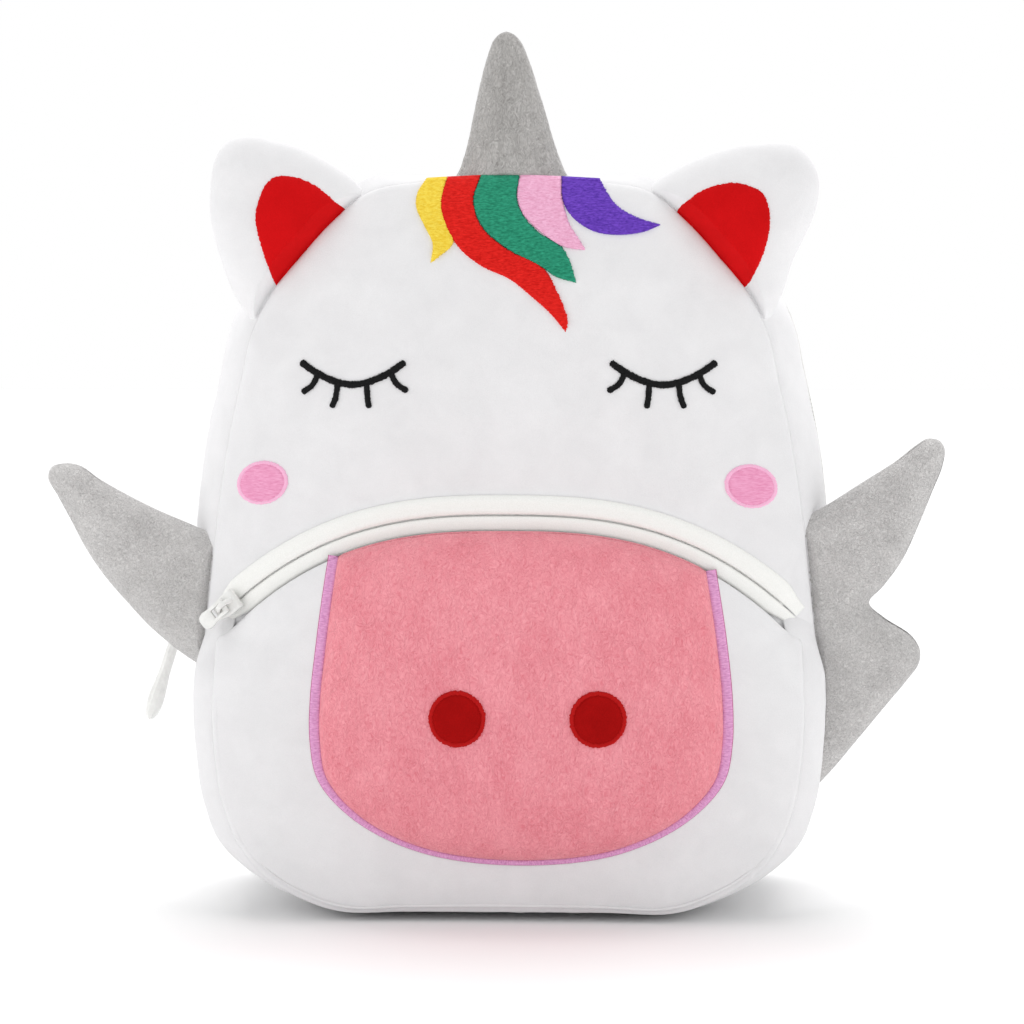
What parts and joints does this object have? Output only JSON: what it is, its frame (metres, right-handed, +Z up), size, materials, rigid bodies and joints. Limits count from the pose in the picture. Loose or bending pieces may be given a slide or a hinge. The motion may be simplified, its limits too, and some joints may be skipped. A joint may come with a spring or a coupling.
{
  "type": "kids animal backpack",
  "caption": "Small white plush unicorn backpack with stuffed ears, horn, wings and muzzle, a zipped top and an arched front pocket.",
  "frame": {"origin": "middle of the flat base, below the gusset", "axes": "+X to the right as seen from the front, +Y from the face to the back panel, +Z up"},
  "size_m": [0.3235, 0.1713, 0.318],
  "materials": {
    "white_plush": "short velour pile",
    "zip_tape": "ribbed woven tape",
    "zip_plastic": "translucent moulded plastic",
    "grey_terry": "looped terry",
    "red_plush": "short pile",
    "pink_plush": "short pile",
    "lilac_satin": "satin stitch",
    "black_thread": "satin stitch",
    "yellow_thread": "satin stitch",
    "red_thread": "satin stitch",
    "green_thread": "satin stitch",
    "purple_thread": "satin stitch"
  },
  "bodies": {
    "bag": {"face_panel": "white_plush", "back_panel": "white_plush", "gusset_bottom": "white_plush", "gusset_front": "white_plush", "gusset_back": "white_plush", "main_zip_front_tape": "zip_tape", "main_zip_back_tape": "zip_tape", "main_zip_coil": "zip_plastic", "main_zip_slider": "zip_plastic", "pocket_panel": "white_plush", "pocket_gusset": "white_plush", "pocket_zip_upper_tape": "zip_tape", "pocket_zip_lower_tape": "zip_tape", "pocket_zip_coil": "zip_plastic", "pocket_zip_slider": "zip_plastic", "muzzle": "pink_plush", "muzzle_trim": "lilac_satin", "nostril_left": "red_plush", "nostril_right": "red_plush", "eye_left": "black_thread", "eye_right": "black_thread", "cheek_left": "lilac_satin", "cheek_right": "lilac_satin", "ear_left": "white_plush", "ear_right": "white_plush", "ear_inner_left": "red_plush", "ear_inner_right": "red_plush", "mane_yellow": "yellow_thread", "mane_red": "red_thread", "mane_green": "green_thread", "mane_pink": "lilac_satin", "mane_purple": "purple_thread", "horn": "grey_terry", "wing_left": "grey_terry", "wing_right": "grey_terry", "strap_left": "white_plush", "strap_right": "white_plush", "webbing_left": "zip_tape", "webbing_right": "zip_tape", "buckle_left": "zip_plastic", "buckle_right": "zip_plastic", "grab_loop": "zip_tape"},
    "main_puller": {"main_zip_puller": "zip_plastic"},
    "pocket_puller": {"pocket_zip_puller": "zip_plastic"}
  },
  "joints": [
    {"name": "main_puller_hinge", "type": "hinge", "parent": "bag", "child": "main_puller", "pos_m": [-0.12279, 0.0045, 0.10489], "axis": [0, 1, 0], "range_deg": [-18, 140]},
    {"name": "pocket_puller_hinge", "type": "hinge", "parent": "bag", "child": "pocket_puller", "pos_m": [-0.10204, -0.04423, 0.11104], "axis": [-0.5924, 0.2757, 0.757], "range_deg": [0, 150]}
  ]
}
